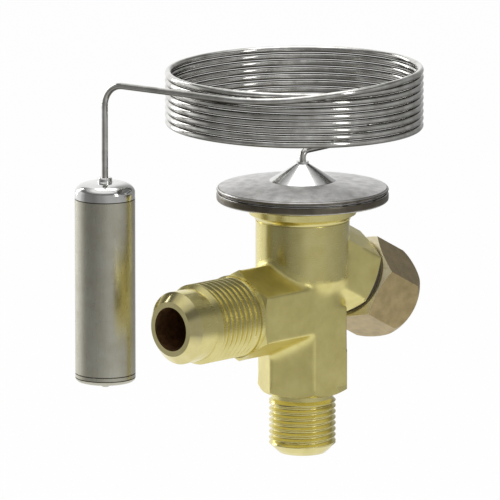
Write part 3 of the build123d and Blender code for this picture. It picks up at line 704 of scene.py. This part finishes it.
def remeshed(mesh, voxel):
    """The mesh again, in even square faces."""
    rough = object_from(mesh, "rough_forging")
    remesh = rough.modifiers.new("even", "REMESH")
    remesh.mode = "VOXEL"
    remesh.voxel_size = voxel
    graph = bpy.context.evaluated_depsgraph_get()
    even = bmesh.new()
    even.from_mesh(rough.evaluated_get(graph).to_mesh())
    bpy.data.objects.remove(rough)
    return even


def soften(mesh, solid):
    """Fill the hollows and round the edges a little, held to the solid near the planes."""
    skin = [v for v in mesh.verts if is_forged_skin(v.co)]
    links = {v: [e.other_vert(v) for e in v.link_edges] for v in skin}
    start = {v: solid.find_nearest(v.co)[0] for v in skin}
    for v in skin:
        v.co = start[v]
    for _ in range(ROUNDS):
        mesh.normal_update()
        moves = []
        for v in skin:
            near = links[v]
            pull = sum((n.co for n in near), Vector()) / len(near) - v.co
            moves.append(pull * STEP * (1 if pull.dot(v.normal) > 0 else EDGE_SHARE))
        for v, move in zip(skin, moves):
            v.co += move
    for v in skin:
        free = min(max(forged_depth(v.co) / HOLD, 0), 1)
        v.co = start[v].lerp(v.co, free * free * (3 - 2 * free))
    return max((v.co - start[v]).length for v in skin)


print(ROUNDS, "rounds of smoothing")

# %% The forged skin
COLUMN_R = 11.15 * MM

solid = BVHTree.FromBMesh(copy_of("valve_body"))
skin_mesh = remeshed(copy_of("valve_body"), VOXEL)
deepest = soften(skin_mesh, solid)
part_at_planes(skin_mesh)
keep_faces(skin_mesh, is_forged_skin)
for face in skin_mesh.faces:
    face.material_index = int(all(abs(math.hypot(v.co.x, v.co.y) - COLUMN_R) < ON_SURFACE
                                  and v.co.z > OUTLET_Z for v in face.verts))
forging = object_from(skin_mesh, "body_forging")
forging.data.materials.append(forged)
forging.data.materials.append(turned)
for polygon in forging.data.polygons:
    polygon.use_smooth = True
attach(forging, "valve")
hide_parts("valve_body")
print("skin of", len(forging.data.polygons), "faces, moved up to", round(deepest / MM, 2), "mm")

# %% [markdown]
# ## The machined ends
#
# What the forged skin leaves over was cut on a lathe. Its faces are sorted by where they lie: the
# outlet's bore is tarnished, the flare seats are polished, the shoulders next to the planes keep
# the forged look, and the rest is turned.

# %% Finishes by place
TURNED, FORGED, TARNISHED, POLISHED = range(4)
BORE_X = -14 * MM           # the outlet's bore shows from here outwards
SEAT_X = -41.7 * MM         # where the outlet's polished end begins
SEAT_Z = 1.2 * MM           # where the inlet's polished end ends
COLLAR_LOW, COLLAR_R = 48 * MM, 14 * MM     # the turned collar lies above and within these
SHOULDER = 1.9 * MM         # how far past a plane the forged look goes


def finish_of(face):
    """Which finish a face of the solid has, by where it lies."""
    spots = [vert.co for vert in face.verts]
    if all(p.x < BORE_X and math.hypot(p.y, p.z - OUTLET_Z) < OUTLET_BORE_R + ON_SURFACE
           for p in spots):
        return TARNISHED
    if all(p.x < SEAT_X for p in spots) or all(p.z < SEAT_Z for p in spots):
        return POLISHED
    on_collar = all(math.hypot(p.x, p.y) < COLLAR_R and p.z > COLLAR_LOW for p in spots)
    near = forged_depth(face.calc_center_median()) > -SHOULDER
    return FORGED if near and not on_collar else TURNED


print("faces sorted into four finishes")

# %% The machined ends and their threads
mesh = copy_of("valve_body")
for name, place, radius, pitch, depth in THREADS:
    faces, low, high = cylinder_faces(mesh, place, radius, *THREAD_SPAN[name])
    bmesh.ops.delete(mesh, geom=faces, context="FACES")
    thread = thread_mesh(name, place, radius, pitch, depth, low, high)
    thread.data.materials.append(turned)
    smooth(thread)
    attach(thread, "valve")
    print(name, "from", round(low / MM, 2), "to", round(high / MM, 2), "mm on its axis")
part_at_planes(mesh)
keep_faces(mesh, lambda centre: not is_forged_skin(centre))
for face in mesh.faces:
    face.material_index = finish_of(face)
bmesh.ops.dissolve_limit(mesh, angle_limit=FLAT_TURN, verts=mesh.verts, edges=mesh.edges,
                         delimit={"MATERIAL"})
machined = object_from(mesh, "body_machined_ends")
for finish in (turned, forged, tarnished, seat_brass):
    machined.data.materials.append(finish)
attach(machined, "valve")
smooth(machined)
bevel(machined, BEVEL)
print("machined ends have", len(machined.data.polygons), "faces")

# %% [markdown]
# ## Bulb
#
# The bulb is one turned skin: a bright domed cap with a hub, a satin shell, and a nib below, where
# the bottom was closed. Dark weld lines mark the cap's edge and the pressed-in bottom.

# %% Turned skins
SKIN_COLUMNS = 128


def turned_skin(name, frame_matrix, rows, finishes):
    """A surface of revolution. Each row is a radius, a height, and the finish below it."""
    mesh = bmesh.new()
    rings = []
    for radius, height, _ in rows:
        if radius == 0:
            rings.append([mesh.verts.new((0, 0, height))] * SKIN_COLUMNS)
            continue
        rings.append([mesh.verts.new((radius * math.cos(math.tau * i / SKIN_COLUMNS),
                                      radius * math.sin(math.tau * i / SKIN_COLUMNS), height))
                      for i in range(SKIN_COLUMNS)])
    for upper, lower, (_, _, finish) in zip(rings, rings[1:], rows):
        for i in range(SKIN_COLUMNS):
            k = (i + 1) % SKIN_COLUMNS
            corners = dict.fromkeys((upper[i], lower[i], lower[k], upper[k]))
            mesh.faces.new(list(corners)).material_index = finish
    bmesh.ops.recalc_face_normals(mesh, faces=mesh.faces)
    mesh.transform(frame_matrix)
    data = bpy.data.meshes.new(name)
    mesh.to_mesh(data)
    mesh.free()
    skin = link(bpy.data.objects.new(name, data))
    for finish in finishes:
        skin.data.materials.append(finish)
    smooth(skin)
    return skin


print("turned skins have", SKIN_COLUMNS, "columns")

# %% The bulb's sizes
BULB_R = mounts["bulb"]["dims"]["r_mm"] * MM
BRIGHT, SATIN, DARK = range(3)
bulb_low, bulb_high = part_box("bulb_shell")
bulb_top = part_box("bulb_top_cap")[1].z
nib_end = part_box("bulb_bottom_cap")[0].z
bulb_centre = (bulb_low + bulb_high) / 2
seam, lower_seam = bulb_high.z, bulb_low.z
HUB_R, HUB_LEN, FLAT_R = 1.7 * MM, 1.1 * MM, 3.2 * MM
HUB_ROUND = 0.2 * MM    # rounding of the hub's top edge
HUB_FOOT = 0.15 * MM    # hollow where the hub meets the cap
TUBE_HOLE_R = 0.78 * MM
LINE = 0.12 * MM        # half the width of a weld line
LINE_DEPTH = 0.16 * MM
FOOT_EDGE = 1.0 * MM    # rounding of the bottom
skirt, dome = seam + 1.5 * MM, bulb_top - HUB_LEN
foot = lower_seam - 2.0 * MM
print("bulb from", round(foot / MM, 1), "to", round(bulb_top / MM, 1), "mm")

# %% The bulb's skin
def quarter(r_from, z_from, r_to, z_to, finish, steps=10):
    """A quarter ellipse from a flat top out and down to a wall."""
    return [(r_from + (r_to - r_from) * math.sin(math.pi / 2 * i / steps),
             z_to + (z_from - z_to) * math.cos(math.pi / 2 * i / steps), finish)
            for i in range(steps + 1)]


def weld_line(height, finish):
    """A shallow dark groove round the bulb's wall, then the finish below it."""
    return [(BULB_R, height + LINE, DARK), (BULB_R - LINE_DEPTH, height + LINE / 2, DARK),
            (BULB_R - LINE_DEPTH, height - LINE / 2, DARK), (BULB_R, height - LINE, finish)]


# from the hub's top down to the nib: radius, height, finish below
rows = [(TUBE_HOLE_R, bulb_top, BRIGHT), (HUB_R - HUB_ROUND, bulb_top, BRIGHT),
        (HUB_R, bulb_top - HUB_ROUND, BRIGHT), (HUB_R, dome + HUB_FOOT, BRIGHT),
        (HUB_R + HUB_FOOT, dome, BRIGHT)]
rows += quarter(FLAT_R, dome, BULB_R, skirt, BRIGHT)
for height in (seam, lower_seam, foot + FOOT_EDGE):
    rows += weld_line(height, SATIN)
rows += [(BULB_R - 0.15 * MM, foot + 0.5 * MM, SATIN),
         (BULB_R - 0.5 * MM, foot + 0.15 * MM, SATIN), (BULB_R - FOOT_EDGE, foot, SATIN),
         (1.5 * MM, foot, DARK), (1.4 * MM, foot - 0.7 * MM, SATIN),
         (0.8 * MM, nib_end + 0.1 * MM, SATIN), (0, nib_end, SATIN)]
bulb = turned_skin("sensing_bulb", Matrix.Translation((bulb_centre.x, bulb_centre.y, 0)), rows,
                   (bright, bulb_skin, rim_dark))
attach(bulb, "valve")
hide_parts("bulb_shell", "bulb_top_cap", "bulb_bottom_cap")
print("bulb skin of", len(bulb.data.polygons), "faces")

# %% [markdown]
# ## Softened copies
#
# Pressed sheet and bar brass never end in a knife edge. A copy of the solid is merged into clean
# flat faces, each face gets its finish, and a bevel then rounds every real edge. The bevel gives
# the thin highlights that the eye reads as metal.

# %% A softened copy
def softened(node_name, name, body, width, finishes, finish_of_face, edge_finish=-1):
    """A copy of a solid with rounded edges. finish_of_face gives a face's place in finishes,
    and edge_finish that of the rounded edges, or -1 for that of the faces beside them."""
    mesh = copy_of(node_name)
    for face in mesh.faces:
        face.material_index = finish_of_face(face)
    bmesh.ops.dissolve_limit(mesh, angle_limit=FLAT_TURN, verts=mesh.verts, edges=mesh.edges,
                             delimit={"MATERIAL"})
    piece = object_from(mesh, name)
    for finish in finishes:
        piece.data.materials.append(finish)
    smooth(piece)
    bevel(piece, width).material = edge_finish
    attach(piece, body)
    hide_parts(node_name)
    print(name, "has", len(piece.data.polygons), "faces")


print("flat faces merge below", round(math.degrees(FLAT_TURN), 1), "degrees")

# %% [markdown]
# ## Element and cap
#
# The element's two covers were welded together all round, and their outer rim band and the
# rounded edges of both pressings are drawn dark. The cap is hexagon bar, and its mouth was
# turned to a chamfer, which cuts each corner to an arc.

# %% The element's dark rim
ELEMENT_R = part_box("element_upper_cover")[1].x
RIM_BAND = 0.35 * MM
PRESSING_BEVEL = 0.18 * MM


def rim_or_sheet(face):
    """1 for the welded rim, 0 for the bright pressing."""
    return int(min(math.hypot(v.co.x, v.co.y) for v in face.verts) > ELEMENT_R - RIM_BAND)


for cover in ("upper", "lower"):
    softened("element_" + cover + "_cover", cover + "_pressing", "valve", PRESSING_BEVEL,
             (sheet, rim_dark), rim_or_sheet, edge_finish=1)
print("rim radius", round(ELEMENT_R / MM, 1), "mm")

# %% The cap and its turned mouth
CAP_MOUTH = 20.0 * MM       # along the spindle
CAP_BEVEL = 0.30 * MM
SLOPE = 0.2                 # a turned face leans at least this much along the spindle
into_spindle = SPINDLE_FRAME.inverted()


def mouth_or_flat(face):
    """1 for the turned chamfer round the cap's mouth, 0 for the rest."""
    spots = [into_spindle @ v.co for v in face.verts]
    slope = abs((into_spindle.to_3x3() @ face.normal).z)
    return int(slope > SLOPE and all(p.z < CAP_MOUTH for p in spots))


# the cap's turned chamfer takes the pale mouth colour, a painted highlight
softened("cap_nut", "cap_shell", "cap", CAP_BEVEL, (cap_finish, mouth_highlight), mouth_or_flat)

# %% [markdown]
# ## The collar under the element
#
# The column opens in a hollow flare to the land that carries the element. The solid has a straight
# one, so a turned ring with the hollow curve goes round it, from the bead up to the land.

# %% The collar's flare
LAND_R, LAND_TOP = 12.95 * MM, 59.24 * MM
FLARE_BOTTOM_R, FLARE_WIDTH = 11.37 * MM, 1.35 * MM
FLARE_BOTTOM, FLARE_TOP = 56.47 * MM, 57.75 * MM
FLARE_STEPS = 8
FLARE_CURVE = 1.8       # 1 is a straight cone, and more is hollower

flare_rows = [(LAND_R, LAND_TOP, 0)]
for step in range(FLARE_STEPS + 1):
    share = step / FLARE_STEPS
    flare_rows.append((FLARE_BOTTOM_R + FLARE_WIDTH * (1 - share) ** FLARE_CURVE,
                       FLARE_TOP + (FLARE_BOTTOM - FLARE_TOP) * share, 0))
flare = turned_skin("collar_flare", Matrix.Identity(4), flare_rows, (turned,))
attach(flare, "valve")
print("flare from", round(FLARE_BOTTOM / MM, 1), "mm up")

# %% [markdown]
# ## Springs cut in pieces
#
# A coil spring is held at both ends, so it can't ride on one body. The superheat spring stands
# on its seat, and the pad presses its top. It is cut at mid height: the lower half runs from the
# seat to the valve, and the upper half from the valve to the stem. The cone's spring runs from
# the cup in the valve to the cone on the stem.

# %% Spring pieces
CUT_MARGIN = 0.001 * MM     # a piece reaches this far past its cut, so that no end is lost


def spring_span(node_name):
    """The low end, middle and high end of an upright spring."""
    low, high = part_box(node_name)
    return Vector((0, 0, low.z)), Vector((0, 0, (low.z + high.z) / 2)), Vector((0, 0, high.z))


def spring_piece(node_name, name, start, end):
    """The part of a spring between two heights."""
    mesh = copy_of(node_name)
    for at, way in ((start, UP), (end, -UP)):
        bmesh.ops.bisect_plane(mesh, geom=mesh.verts[:] + mesh.edges[:] + mesh.faces[:],
                               dist=ON_PLANE, plane_co=at - way * CUT_MARGIN, plane_no=way,
                               clear_inner=True)
    piece = object_from(mesh, name)
    piece.data.materials.append(spring_steel)
    smooth(piece)
    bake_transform(piece)
    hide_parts(node_name)
    print(name, "from", round(start.z / MM, 1), "to", round(end.z / MM, 1), "mm")


print("springs are cut with a margin of", round(CUT_MARGIN / MM, 4), "mm")

# %% The two springs
low, middle, high = spring_span("superheat_spring")
spring_piece("superheat_spring", "superheat_spring_low", low, middle)
spring_piece("superheat_spring", "superheat_spring_high", middle, high)
low, _, high = spring_span("cone_spring")
spring_piece("cone_spring", "cone_spring_coil", low, high)

# %% The end
print("done")
